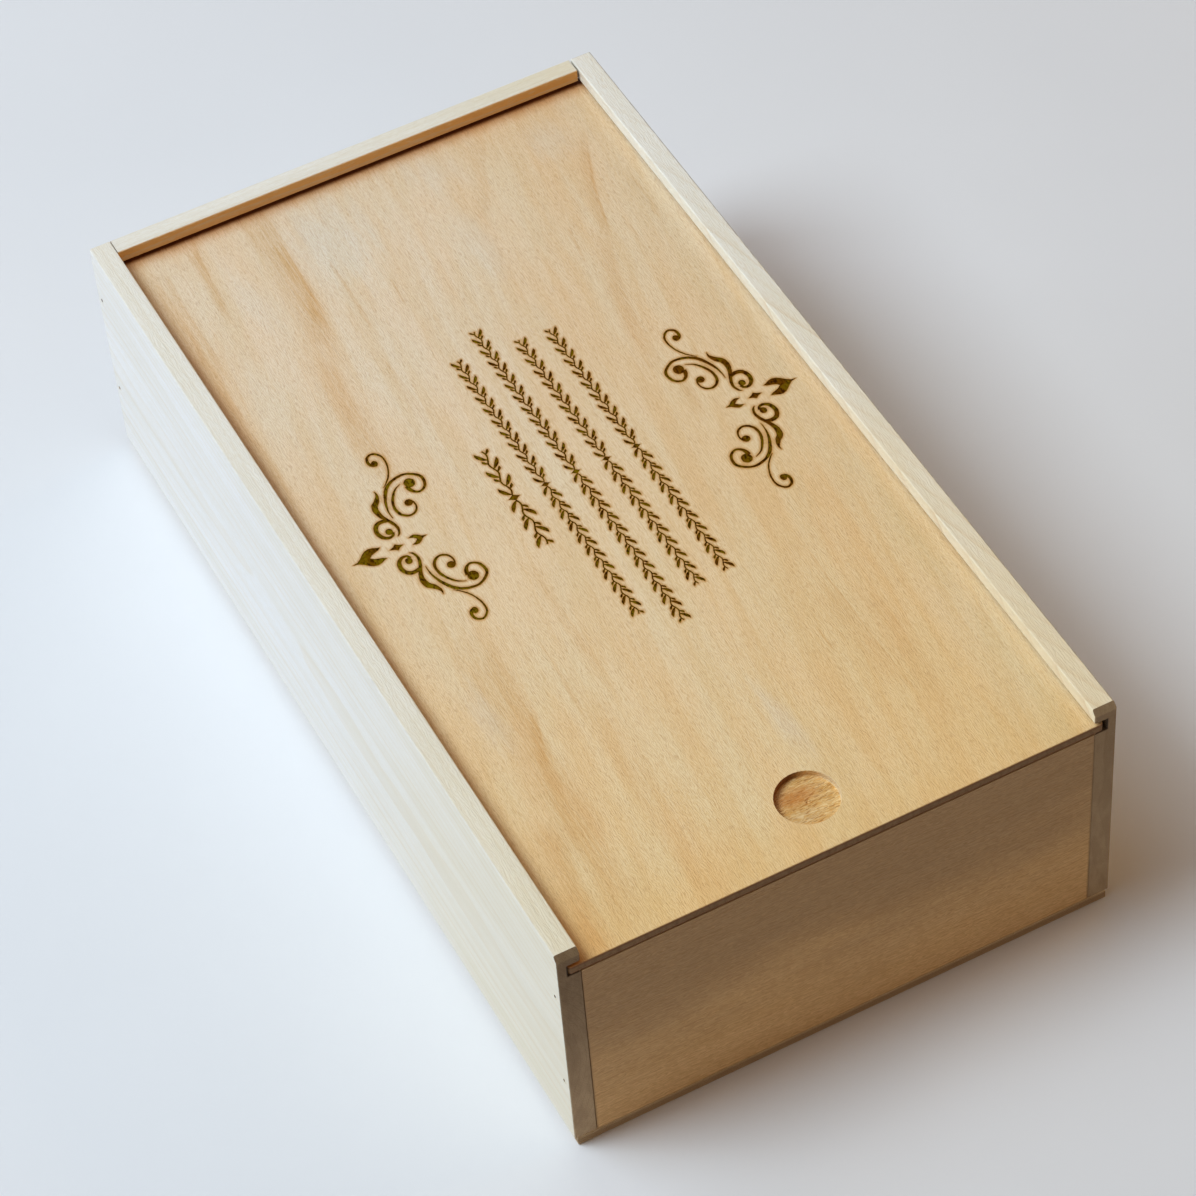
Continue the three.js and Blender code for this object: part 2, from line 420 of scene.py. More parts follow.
# %% Fibres
FIGURE_STRETCH = 12.0  # how many times as long as wide the broad figure is
STRAND_WAVER = 26.0  # how far noise pushes the strands aside, in radians
STRAND_SLANT = (0.0, 1.0, 0.94)  # so that strands show on faces and on edges


def make_fibre_group():
    """Streaks that run with the grain: broad Figure, fine Strand, and short dark Fleck.

    Strands are close lines that waver and fade: their spacing is Strand Width.
    """
    inputs = {
        "Place": (0, 0, 0), "Figure Width": 14.0, "Strand Length": 7.0, "Strand Width": 0.9,
        "Fleck Length": 3.0, "Fleck Width": 0.45,
    }
    group, source = start_group("fibres", inputs, ("Figure", "Strand", "Fleck"))

    def streaks(length, width, detail, rough=0.5):
        """Noise drawn out to a length along the grain and a width across it."""
        across = 1.0 / width
        scale = join("ShaderNodeCombineXYZ", {0: 1.0 / length, 1: across, 2: across})
        return noise(move("MULTIPLY", source["Place"], scale), 1.0, detail, rough)

    length, width = source["Strand Length"], source["Strand Width"]
    waver = streaks(length, width * 1.7, 2.0, 0.6)
    across = move("DOT_PRODUCT", source["Place"], STRAND_SLANT)
    wave = calc("SINE", waver * STRAND_WAVER + across / width * (2 * math.pi))
    fleck = streaks(source["Fleck Length"], source["Fleck Width"], 0.0)
    return end_group(
        group,
        Figure=streaks(source["Figure Width"] * FIGURE_STRETCH, source["Figure Width"], 3.0),
        Strand=wave * streaks(length, width, 1.0) + 0.5,
        Fleck=window(fleck, 0.60, 0.74),
    )


fibre_group = make_fibre_group()


# %% Worn arrises, with painted shade
def make_arris_group():
    """1 on the arrises, for wear and painted shade: near two faces at once, with a ragged border."""
    inputs = {"Place": (0, 0, 0), "Low": (0, 0, 0), "High": (1, 1, 1), "Width": 1.0}
    group, source = start_group("arris wear and shade", inputs, ("Wear",))
    from_low = move("SUBTRACT", source["Place"], source["Low"])
    from_high = move("SUBTRACT", source["High"], source["Place"])
    gap = split(move("MINIMUM", from_low, from_high))
    lesser = calc("MINIMUM", gap[0], gap[1])
    greater = calc("MAXIMUM", gap[0], gap[1])
    second = calc("MINIMUM", greater, calc("MAXIMUM", lesser, gap[2]))
    reach = source["Width"] * noise(source["Place"], (0.25, 0.8, 0.8), 4.0, 0.6) * 2.0
    return end_group(group, Wear=window(second / reach, 0.3, 1.0, 1.0, 0.0))


arris_group = make_arris_group()

# %% [markdown]
# ## Solid boards
#
# The sides and the back are planed boards of a pale, close wood, with the grain along their length.
# Their rings are faint, cream on cream. The end grain drinks more light than the face, so it looks
# darker and greyer. One function makes all the boards: each passes its own grain direction, pith
# and tones, since no two boards are cut from the same place in a trunk.

# %% Board finish
# Painted shade: the colour that darkens the wood inside the saw-cut grooves.
GROOVE_SHADE = (94, 82, 68)
GROOVE_ASIDE = (92.3, 92.8, 96.6, 97.2)
GROOVE_LEVEL = (89.2, 89.8, 94.6, 95.2)
LIP_LEVEL = (92.0, 94.0)
NEVER = 500.0  # beyond the end of every board
CALM_LENGTH = 130.0


def board_wood(node, order, pith, ring_width, wander, tones, inward, shift, lean=0.0, calm=NEVER):
    """Bare planed wood for a CAD board.

    tones: the colours of early wood, late wood, end grain, its dark rings and the shade at its top,
    the lip above the groove (on the back panel a painted reflection of the lid and painted shade),
    the outer face, the arris (darker: wear and painted shade) and the fibre lines.
    inward: the axis and the sign of the board's inner face. shift: an axis, where along it (in
    millimetres) the colour starts and ends to change, and the tint that it ends with.
    calm: where along the board, in millimetres, its rings start to grow fainter.
    """
    material, tree = start_material(node + " wood")
    place = grain_place(tree, order)
    box_low, box_high = ([corner["XYZ".index(axis)] for axis in order] for corner in box_mm(node))
    rings = use(ring_group, Place=place, Pith=pith, Ring_Width=ring_width, Wander=wander, Lean=lean)
    fibres = use(fibre_group, Place=place, Figure_Width=9.0)
    arris_mask = use(arris_group, Place=place, Low=box_low, High=box_high, Width=0.7)["Wear"]
    face = facing(tree)
    upright = split(grain_place(tree, "XYZ"))

    depth = rings["Ring"] * window(rings["Year"], 0.0, 1.0, 0.35, 1.0)
    depth = depth * window(split(place)[0], calm, calm + CALM_LENGTH, 1.0, 0.3)
    is_inside = face["XYZ".index(inward[0])] * inward[1]
    # On the back panel the lip tone is a painted reflection of the lid, with painted shade.
    is_lip = window(is_inside, 0.4, 0.9) * window(upright[2], *LIP_LEVEL)
    colour = lay(is_lip, tones["early"], tones["lip"])
    colour = lay(window(is_inside, -0.9, -0.4, 1.0, 0.0), colour, tones["outside"])
    colour = lay(depth * 0.8, colour, tones["late"])
    axis, from_mm, to_mm, tint = shift
    cloud = noise(place, (0.012, 0.035, 0.035), 3.0, 0.5)
    here = upright["XYZ".index(axis)] + (cloud - 0.5) * (to_mm - from_mm)
    colour = shade(colour, window(here, from_mm, to_mm) * (1.0 - is_lip * 0.15), WHITE, tint)
    colour = shade(colour, window(fibres["Figure"], 0.30, 0.70), (250, 248, 243), WHITE)
    strand = window(fibres["Strand"], 0.3, 0.7)
    colour = shade(colour, strand, tones["lines"], WHITE)
    colour = lay(fibres["Fleck"] * 0.25, colour, tones["late"])

    is_end = window(calc("ABSOLUTE", face["XYZ".index(order[0])]), 0.35, 0.65)
    pores = noise(place, (0.5, 2.6, 2.6), 3.0, 0.7)
    broad = noise(place, (0.1, 0.10, 0.25), 3.0, 0.6)
    cut = lay(window(rings["Ring"], 0.1, 0.8, 0.0, 0.3), tones["end"], tones["end_dark"])
    cut = lay(window(broad, 0.35, 0.65, 0.0, 0.45), cut, tones["end_dark"])
    cut = lay(window(pores, 0.45, 0.7, 0.0, 0.5), cut, tones["end_dark"])
    cut = shade(cut, window(upright[2], 0.0, 90.0), WHITE, tones["end_top"])
    # Darker outer arrises: partly wear, partly painted shade; on the right side a painted shadow line.
    worn_and_shaded_arris = arris_mask * window(is_inside, -0.2, 0.3, 0.6, 0.0)
    colour = lay(is_end, lay(worn_and_shaded_arris, colour, tones["arris_wear_and_shade"]), cut)
    # Painted shade inside the grooves.
    in_groove = band(calc("ABSOLUTE", upright[0]), *GROOVE_ASIDE) * band(upright[2], *GROOVE_LEVEL)
    colour = lay(in_groove, colour, GROOVE_SHADE, "MULTIPLY")

    height = depth * -0.4 + fibres["Strand"] * 0.8 + fibres["Fleck"] * -0.5 + pores * is_end * 1.2
    rough = window(strand + is_end, 0.0, 1.6, 0.55, 0.80)
    end_material(colour, rough, height, 0.4, 0.0002, Specular_IOR_Level=0.25)
    return material


def dress(node, material):
    """Gives a CAD node its finish."""
    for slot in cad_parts[node].material_slots:
        slot.material = material
    print(node, "wears", material.name)


# %% Tones of the boards
# The arris tones are darker than the wood: partly wear, partly painted shade.
CREAM = {
    "early": (239, 234, 223), "late": (224, 211, 188), "end": (180, 155, 120),
    "end_dark": (150, 123, 92), "end_top": (222, 218, 212), "lip": (244, 237, 220),
    "outside": (232, 230, 227), "arris_wear_and_shade": (216, 209, 196), "lines": (252, 250, 246),
}
LEFT_CREAM = CREAM | {"end": (192, 166, 130), "end_top": (186, 180, 172)}
# Its dark arris tone paints a shadow line along the right side's outer arris.
RIGHT_CREAM = CREAM | {"late": (220, 200, 168), "lip": (244, 242, 230), "arris_wear_and_shade": (146, 136, 126)}
# The back panel's lip tone is orange: a painted reflection of the lid, with painted shade.
BACK_CREAM = CREAM | {"lip": (238, 188, 122)}
TAN = {
    "early": (223, 183, 128), "late": (204, 160, 106), "end": (170, 140, 100),
    "end_dark": (130, 100, 66), "end_top": (222, 218, 212), "lip": (223, 183, 128),
    "outside": (223, 183, 128), "arris_wear_and_shade": (160, 124, 84), "lines": (234, 226, 212),
}
# Tints for the shift. On the side boards they are painted warm light towards the front.
FAINT_WARM = (252, 246, 230)
WARM = (255, 241, 214)
DULL = (205, 205, 210)
print("each board has", len(CREAM), "tones")

# %% The four boards
# Node, order of axes, pith, ring width, wander, tones, inner face and shift; for the right side also
# the lean of its pith and where its rings grow calm.
# On the side boards the shift paints warm light towards the front.
BOARDS = [
    ("left_side", "YZX", (-60.0, 45.0, -150.0), 2.2, 7.0, LEFT_CREAM, ("X", 1), ("Y", 60, -170, FAINT_WARM)),
    (
        "right_side", "YZX", (0.0, 60.0, 200.0), 5.3, 16.0, RIGHT_CREAM, ("X", -1),
        ("Y", 150, -150, WARM), 0.3, 10.0,
    ),
    ("back_panel", "XZY", (0.0, 70.0, 240.0), 2.4, 6.0, BACK_CREAM, ("Y", -1), ("X", 0, 100, FAINT_WARM)),
    ("front_panel", "XZY", (0.0, 190.0, -160.0), 1.8, 4.0, TAN, ("Y", 1), ("Z", 15, 70, DULL)),
]
for board in BOARDS:
    dress(board[0], board_wood(*board))

# %% [markdown]
# ## Plywood
#
# The base and the lid are thin plywood: three sheets of veneer with the grain of the middle one
# turned. A saw or a laser shows that build along the edge, as light and dark lines. The edge needs
# only the height in the sheet, so it is a group that both sheets use.


# %% Plywood edge
def make_ply_group():
    """Core is 1 in the middle veneer and Glue is 1 on the two dark glue lines."""
    inputs = {"Place": (0, 0, 0), "Bottom": 0.0, "Thickness": 4.0}
    group, source = start_group("plywood edge", inputs, ("Core", "Glue"))
    waves = noise(source["Place"], (0.08, 0.08, 0.4), 3.0)
    level = (split(source["Place"])[2] - source["Bottom"]) / source["Thickness"] + (waves - 0.5) * 0.10
    off_middle = calc("ABSOLUTE", level - 0.5)
    from_glue = calc("ABSOLUTE", off_middle - 0.19)
    core = window(off_middle, 0.17, 0.21, 1.0, 0.0)
    return end_group(group, Core=core, Glue=window(from_glue, 0.015, 0.045, 1.0, 0.0))


ply_group = make_ply_group()


# %% Sawn plywood of the base
def base_wood():
    """The base: pale veneer underneath and inside, sawn layers round its edge."""
    material, tree = start_material("base plywood")
    low, high = box_mm("base_panel")
    upright = grain_place(tree, "XYZ")
    fibres = use(
        fibre_group, Place=grain_place(tree, "YXZ"), Figure_Width=20.0, Fleck_Length=5.0, Fleck_Width=0.6
    )
    ply = use(ply_group, Place=upright, Bottom=low[2], Thickness=high[2] - low[2])
    face = lay(window(fibres["Figure"], 0.3, 0.7), (203, 177, 134), (219, 196, 156))
    face = lay(fibres["Fleck"] * 0.35, face, (170, 135, 90))
    grit = noise(upright, (2.5, 2.5, 1.2), 4.0, 0.7)
    edge = lay(ply["Core"], (176, 148, 108), (160, 130, 92))
    edge = lay(ply["Glue"] * 0.5, edge, (110, 84, 56))
    edge = lay(window(grit, 0.45, 0.75, 0.0, 0.45), edge, (120, 94, 66))
    is_edge = window(calc("ABSOLUTE", facing(tree)[2]), 0.3, 0.6, 1.0, 0.0)
    height = fibres["Strand"] + grit * is_edge
    rough = window(grit, 0.2, 0.8, 0.55, 0.8)
    end_material(lay(is_edge, face, edge), rough, height, 0.4, 0.0002, Specular_IOR_Level=0.3)
    return material


dress("base_panel", base_wood())

# %% [markdown]
# ## Brads
#
# Twenty wire brads hold the boards and the base. Only their heads can be seen, sunk a little under
# the wood. Drawn wire is grey and dull, with fine scratches and a few dark specks.


# %% Brad steel
def brad_steel():
    """Dull drawn steel with scratches and specks."""
    material, tree = start_material("brad steel")
    place = grain_place(tree, "XYZ")
    scratch = noise(place, (6.0, 6.0, 40.0), 3.0, 0.6)
    speck = window(noise(place, 3.0, 3.0, 0.7), 0.58, 0.70)
    colour = lay(scratch, (210, 211, 212), (232, 232, 232))
    colour = lay(speck, colour, (150, 142, 134))
    rough = window(scratch, 0.25, 0.75, 0.34, 0.55)
    end_material(colour, rough, scratch, 0.2, 0.0001, Metallic=window(scratch, 0.3, 0.7, 0.1, 0.35))
    return material


steel = brad_steel()
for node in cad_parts:
    if "brad" in node:
        dress(node, steel)

# %% [markdown]
# ## The pattern on the lid
#
# The lid carries two mirrored scroll ornaments and five rows between them, all burnt by a laser. A
# picture of the pattern would blur close up and burn no depth into the wood, so the pattern is drawn
# as outlines, and the outlines are cut into the lid's mesh. Each stroke is a few knots with a width
# at each: a smooth curve through the knots, thickened, gives its outline. The rows are garlands, a
# plain running leaf pattern.

# %% Strokes and outlines
STEPS_PER_KNOT = 6
THINNEST = 0.08


def smooth_line(knots, steps):
    """A smooth line through the knots. Each knot is a tuple of numbers; all are eased alike."""
    first = tuple(2 * a - b for a, b in zip(knots[0], knots[1]))
    last = tuple(2 * a - b for a, b in zip(knots[-1], knots[-2]))
    row = [first, *knots, last]
    line = []
    for before, start, end, after in zip(row, row[1:], row[2:], row[3:]):
        for step in range(steps):
            t = step / steps
            values = []
            for p, q, r, s in zip(before, start, end, after):
                bend = 2 * p - 5 * q + 4 * r - s
                twist = 3 * q - p - 3 * r + s
                values.append(0.5 * (2 * q + (r - p) * t + bend * t * t + twist * t**3))
            line.append(tuple(values))
    line.append(knots[-1])
    return line


def stroke(knots, steps=STEPS_PER_KNOT):
    """The outline of a stroke. A knot is (inward, up, full width), in millimetres."""
    line = smooth_line(knots, steps)
    left, right = [], []
    for i, (x, y, width) in enumerate(line):
        x0, y0 = line[max(i - 1, 0)][:2]
        x1, y1 = line[min(i + 1, len(line) - 1)][:2]
        run = math.hypot(x1 - x0, y1 - y0)
        side_x = -(y1 - y0) / run * max(width, THINNEST) / 2
        side_y = (x1 - x0) / run * max(width, THINNEST) / 2
        left.append((x + side_x, y + side_y))
        right.append((x - side_x, y - side_y))
    return left + right[::-1]


def oval(x, y, half_width, half_height, count=24):
    """The outline of a round dot."""
    turn = [2 * math.pi * i / count for i in range(count)]
    return [(x + half_width * math.cos(a), y + half_height * math.sin(a)) for a in turn]


def mirrored(half):
    """A motif that is the same above and below its axis, from its upper half."""
    return half + [(x, -y) for x, y in half[::-1] if y > 0]


print("a straight stroke of two knots has", len(stroke([(0, 0, 1), (5, 0, 1)])), "points")

# %% The scroll ornament
# Knots run inward from the ornament's small diamond, and up from its axis.
TAIL = [
    (8.3, 26.45, 0.2), (9.7, 27.7, 0.4), (11.62, 30.0, 0.5), (12.95, 32.5, 0.5), (13.75, 35.0, 0.55),
    (14.08, 37.5, 0.6), (13.8, 40.0, 0.7), (12.4, 41.95, 0.8), (10.85, 42.5, 0.8), (9.2, 41.5, 0.95),
    (8.65, 39.6, 1.0), (9.0, 38.1, 1.2), (9.9, 37.3, 1.3),
]
GREAT_SCROLL = [
    (4.9, 12.4, 0.2), (4.85, 14.6, 0.35), (5.1, 17.0, 0.6), (5.75, 19.6, 0.9), (7.0, 22.6, 1.15),
    (8.7, 25.4, 1.25), (11.0, 27.35, 1.1), (13.8, 28.4, 1.0), (16.8, 28.55, 0.9), (19.5, 27.1, 0.95),
    (21.25, 25.2, 1.0), (21.55, 22.9, 1.0), (20.6, 20.15, 0.95), (18.3, 18.8, 0.85),
    (16.5, 19.65, 1.05), (15.55, 21.3, 1.4), (15.35, 23.0, 1.6),
]
INNER_SCROLL = [
    (13.7, 25.1, 0.15), (11.5, 23.95, 0.5), (9.95, 22.3, 0.75), (8.25, 19.4, 0.95), (7.4, 16.2, 0.95),
    (7.75, 13.2, 1.0), (9.15, 11.3, 0.9), (11.05, 10.6, 0.8), (13.0, 11.4, 0.75), (14.1, 13.2, 0.6),
    (14.2, 15.2, 0.6), (13.4, 16.6, 1.2),
]
LONG_LEAF = [
    (4.7, 26.5, 0.1), (4.75, 24.5, 0.85), (3.55, 22.1, 1.85), (1.95, 20.35, 2.15), (1.4, 17.8, 1.95),
    (1.9, 15.0, 1.5), (3.0, 12.4, 1.2), (4.05, 9.9, 1.1), (4.45, 7.4, 0.9), (3.8, 5.2, 0.7),
    (2.8, 4.25, 0.15),
]
ROUND_CURL = [
    (2.9, 12.3, 1.3), (1.0, 12.85, 1.6), (-0.9, 12.5, 1.6), (-2.15, 11.0, 1.55), (-2.6, 8.8, 1.5),
    (-1.85, 6.4, 1.4), (-0.2, 5.1, 1.15), (1.5, 5.35, 0.95), (2.1, 6.7, 1.2),
]
SCROLL_EYES = [
    (10.4, 37.95, 1.12, 1.4), (16.75, 24.1, 1.9, 2.1), (12.6, 16.1, 1.42, 1.5), (1.15, 7.5, 1.25, 1.38),
]
# Motifs on the axis, upper halves.
TULIP = [
    (-15.95, 0), (-13.95, 0.4), (-12.45, 1.5), (-11.2, 2.75), (-9.95, 3.7), (-8.45, 4.15), (-6.95, 3.8),
    (-5.7, 3.15), (-4.5, 2.75), (-5.6, 2.0), (-6.95, 1.5), (-8.4, 1.0), (-9.4, 0),
]
DIAMOND = [(-2.35, 0), (-0.7, 0.7), (0.3, 1.5), (1.2, 0.7), (2.7, 0)]
BUD = [
    (11.4, 0), (9.8, 0.6), (8.8, 1.55), (7.6, 2.25), (6.6, 2.25), (5.5, 1.65), (6.9, 1.05), (7.9, 0),
]

PATTERN_MIDDLE = (2.1, 2.2)
DIAMOND_OUT = 68.3


def ornament_outlines():
    """Both ornaments: four mirrored arms and the motifs on the two axes."""
    arm = [stroke(knots) for knots in (TAIL, GREAT_SCROLL, INNER_SCROLL, LONG_LEAF, ROUND_CURL)]
    arm += [oval(*eye) for eye in SCROLL_EYES]
    axis = [mirrored(half) for half in (TULIP, DIAMOND, BUD)]
    middle_x, middle_y = PATTERN_MIDDLE
    shapes = []
    for side in (1, -1):
        for group, way in ((axis, 1), (arm, 1), (arm, -1)):
            for shape in group:
                shapes.append([(middle_x - side * (DIAMOND_OUT - a), middle_y + way * b) for a, b in shape])
    return shapes


print("ornaments:", len(ornament_outlines()), "outlines")

# %% Garland rows between the ornaments
UPPER_LEAF = [(0, 0, 0.25), (0.75, 0.75, 0.95), (1.75, 1.45, 1.25), (2.75, 1.95, 1.0), (3.7, 2.15, 0.12)]
LOWER_LEAF = [(0.2, 0, 0.25), (1.0, -0.55, 0.7), (1.8, -0.95, 0.85), (2.7, -1.15, 0.1)]
MIDDLE_BUD = [(-0.85, 0), (-0.42, 0.55), (0, 1.25), (0.42, 0.55), (0.85, 0)]
BUD_SIZE = 1.15
BARE_STEM = 1.2
LEAF_PITCH = 2.7
LEAF_REACH = 0.82
LEAF_RISE = 0.95
INNER_REACH = 0.6
INNER_ROOT = 0.55
STEM_WAVE = 0.42
STEM_WIDTH = 0.36
LEAF_FULLNESS = 0.76
# Place across the lid, half length and size of each row.
ROWS = [(24.3, 64.4, 1.15), (12.9, 65.2, 1.15), (1.3, 76.7, 1.15), (-10.2, 66.9, 1.15), (-22.0, 24.6, 1.5)]


def garland(half_length, size):
    """One row as outlines of (along, across): a waving stem with leaves, both ways from the middle."""
    bare = BARE_STEM * size
    count = int((half_length - bare) / (LEAF_PITCH * size))
    pitch = (half_length - bare) / count
    full = size * LEAF_FULLNESS
    lift = STEM_WAVE * size * 0.8
    shapes = []
    for way in (1, -1):
        knots = []
        for quarter in range(count * 4 + 1):
            wave = STEM_WAVE * size * math.sin(math.pi * quarter / 4)
            knots.append((way * (size + pitch * quarter / 4), wave, STEM_WIDTH * size))
        shapes.append(stroke(knots, 3))
        for leaf in range(count):
            root = size + pitch * leaf
            inner = root + INNER_ROOT * pitch
            side = 1 if leaf % 2 == 0 else -1
            outer_leaf = [(root + a * size * LEAF_REACH, -b * size * LEAF_RISE, w) for a, b, w in UPPER_LEAF]
            inner_leaf = [
                (inner + a * size * INNER_REACH, lift - b * size * LEAF_RISE, w) for a, b, w in LOWER_LEAF
            ]
            for knots in (outer_leaf, inner_leaf):
                shapes.append(stroke([(way * a, side * b, w * full) for a, b, w in knots], 3))
    shapes.append(mirrored([(BUD_SIZE * size * a, BUD_SIZE * size * b) for a, b in MIDDLE_BUD]))
    return shapes


outlines = ornament_outlines()
for across, half_length, size in ROWS:
    for shape in garland(half_length, size):
        outlines.append([(across + s, PATTERN_MIDDLE[1] + t) for t, s in shape])
print("pattern:", len(outlines), "outlines,", sum(len(shape) for shape in outlines), "points")

# %% [markdown]
# ## The engraved lid
#
# The lid's mesh is flat, so it can be cut in two dimensions: its outer border, the rim of the finger
# recess and all the outlines go into one triangulation. A triangle whose middle is inside a stroke
# drops by the depth of the burn, and a small wall closes each border. The wood right beside a stroke
# is scorched, so each point keeps a number that fades with its distance from the nearest stroke.

# %% Sizes of the lid
lid_low, lid_high = box_mm("lid")
LID_CORNER = 1.2
LID_ARRIS = 0.4
CORNER_STEPS = 8
BORDER_STEP = 4.0
BURN_DEPTH = 0.25
BURN_RAG = 0.05
BURN_ROUGH = 0.03
SEED = 36
SCORCH_RINGS = (0.35, 1.25)
SCORCH_REACH = 1.2
BURN_MIDDLE = 0.5
RECESS_PLACE = (-0.45, -158.7)
RECESS_RADIUS = 10.7
RECESS_RIM = RECESS_RADIUS + 0.15
RECESS_DEPTH = 2.5
RECESS_FILLET = 0.6
RECESS_STEPS = 96
CENTRE_MARK_RADIUS = 0.8
CENTRE_MARK_DEPTH = 0.6
print("lid top is at", round(lid_high[2], 2), "mm")


# %% Border loops
def lid_loop(inset):
    """The lid's outline, moved in by inset, with round corners and a point every few millimetres."""
    radius = max(LID_CORNER - inset, 0.3)
    left, right = lid_low[0] + inset, lid_high[0] - inset
    front, back = lid_low[1] + inset, lid_high[1] - inset
    corners = [(right, back, 1, 1), (left, back, -1, 1), (left, front, -1, -1), (right, front, 1, -1)]
    loop = []
    for number, (x, y, way_x, way_y) in enumerate(corners):
        for step in range(CORNER_STEPS + 1):
            angle = math.radians(90 * number + 90 * step / CORNER_STEPS)
            centre_x, centre_y = x - way_x * radius, y - way_y * radius
            loop.append((centre_x + radius * math.cos(angle), centre_y + radius * math.sin(angle)))
    filled = []
    for (ax, ay), (bx, by) in zip(loop, loop[1:] + loop[:1]):
        parts = max(1, round(math.hypot(bx - ax, by - ay) / BORDER_STEP))
        filled += [(ax + (bx - ax) * i / parts, ay + (by - ay) * i / parts) for i in range(parts)]
    return filled


def recess_loop(radius):
    """A round loop about the middle of the finger recess."""
    return oval(*RECESS_PLACE, radius, radius, RECESS_STEPS)


def ragged(shape, dice):
    """A burnt outline wavers a little, since the laser burns it line by line."""
    return [tuple(value + dice.uniform(-BURN_RAG, BURN_RAG) for value in point) for point in shape]


print("lid border has", len(lid_loop(0.0)), "points")


# %% Which triangles are burnt
def inside(shape, spots):
    """True for each spot within the closed outline, counted by how often the outline winds round it."""
    turns = np.zeros(len(spots), int)
    x, y = spots[:, 0], spots[:, 1]
    for (ax, ay), (bx, by) in zip(shape, shape[1:] + shape[:1]):
        side = (bx - ax) * (y - ay) - (x - ax) * (by - ay)
        turns += (ay <= y) & (by > y) & (side > 0)
        turns -= (ay > y) & (by <= y) & (side < 0)
    return turns != 0


def burnt_triangles(shapes, spots):
    """True for each spot that lies in any of the outlines."""
    burnt = np.zeros(len(spots), bool)
    for shape in shapes:
        box = np.array(shape)
        close = np.all((spots >= box.min(0)) & (spots <= box.max(0)), axis=1)
        numbers = np.nonzero(close)[0]
        burnt[numbers[inside(shape, spots[numbers])]] = True
    return burnt


# %% The flat pattern of the lid's top
MERGE_DISTANCE = 1e-4
CHORD_SLACK = 0.999  # a hair less than the rim's radius, so that its own chords stay out


def rings_round(shape):
    """Loose points just outside and inside an outline, so that the scorch has points to fade over."""
    area = sum(ax * by - bx * ay for (ax, ay), (bx, by) in zip(shape, shape[1:] + shape[:1]))
    way = 1 if area > 0 else -1
    points = []
    for i, (x, y) in enumerate(shape):
        x0, y0 = shape[i - 2]
        x1, y1 = shape[(i + 2) % len(shape)]
        run = math.hypot(x1 - x0, y1 - y0) or 1.0
        out_x, out_y = way * (y1 - y0) / run, -way * (x1 - x0) / run
        for reach in (*SCORCH_RINGS[i % 2 :], -BURN_MIDDLE):
            points.append((x + out_x * reach, y + out_y * reach))
    return points


def top_pattern(border, rim, shapes):
    """Triangulates the top. Gives its points, its triangles, and which of them are burnt."""
    points, edges = [], []
    for loop in [border, rim, *shapes]:
        start = len(points)
        points += loop
        edges += [(start + i, start + (i + 1) % len(loop)) for i in range(len(loop))]
    for shape in shapes:
        points += rings_round(shape)
    flat = [Vector(point) for point in points]
    found, _, triangles, *_ = delaunay_2d_cdt(flat, edges, [], 0, MERGE_DISTANCE)
    spots = np.array([[sum(found[i][axis] for i in t) / 3 for axis in (0, 1)] for t in triangles])
    burnt = burnt_triangles(shapes, spots)
    away = np.hypot(spots[:, 0] - RECESS_PLACE[0], spots[:, 1] - RECESS_PLACE[1])
    in_recess = away < RECESS_RIM * CHORD_SLACK
    return found, [(t, bool(b)) for t, b, gone in zip(triangles, burnt, in_recess) if not gone]


# %% Profiles of the recess and of the outer edge
VENEER, BURNT, CROSS_VENEER, LID_EDGE = range(4)


def quarter_round(radius, steps):
    """A quarter round, step by step: how far in from the side, and how far off the level face."""
    angles = [math.radians(90 * step / steps) for step in range(steps + 1)]
    return [(radius * (1 - math.cos(angle)), radius * (1 - math.sin(angle))) for angle in angles]


def recess_profile():
    """Radius, height and finish of each loop of the recess, from the rim to the centre mark."""
    top = lid_high[2]
    floor = top - RECESS_DEPTH
    rows = [(RECESS_RADIUS + 0.05, top - 0.04, VENEER)]
    rows += [(RECESS_RADIUS, top - 0.16, CROSS_VENEER), (RECESS_RADIUS, top - 0.7, CROSS_VENEER)]
    for inset, drop in quarter_round(RECESS_FILLET, 5):
        rows.append((RECESS_RADIUS - inset, floor + drop, CROSS_VENEER))
    for radius in (8.0, 6.0, 4.0, 2.0, CENTRE_MARK_RADIUS + 0.2, CENTRE_MARK_RADIUS):
        rows.append((radius, floor, CROSS_VENEER))
    rows.append((CENTRE_MARK_RADIUS * 0.45, floor - CENTRE_MARK_DEPTH * 0.6, CROSS_VENEER))
    return rows, floor - CENTRE_MARK_DEPTH


def border_profile():
    """Inset, height and finish of each loop of the outer edge, from the top down to the underside."""
    top, under = lid_high[2], lid_low[2]
    arris = quarter_round(LID_ARRIS, 3)
    rows = [(inset, top - drop, VENEER) for inset, drop in arris[2::-1]]
    rows.append((0.0, (top + under) / 2, LID_EDGE))
    return rows + [(inset, under + drop, LID_EDGE) for inset, drop in arris]


print("the recess has", len(recess_profile()[0]), "loops and the edge", len(border_profile()))


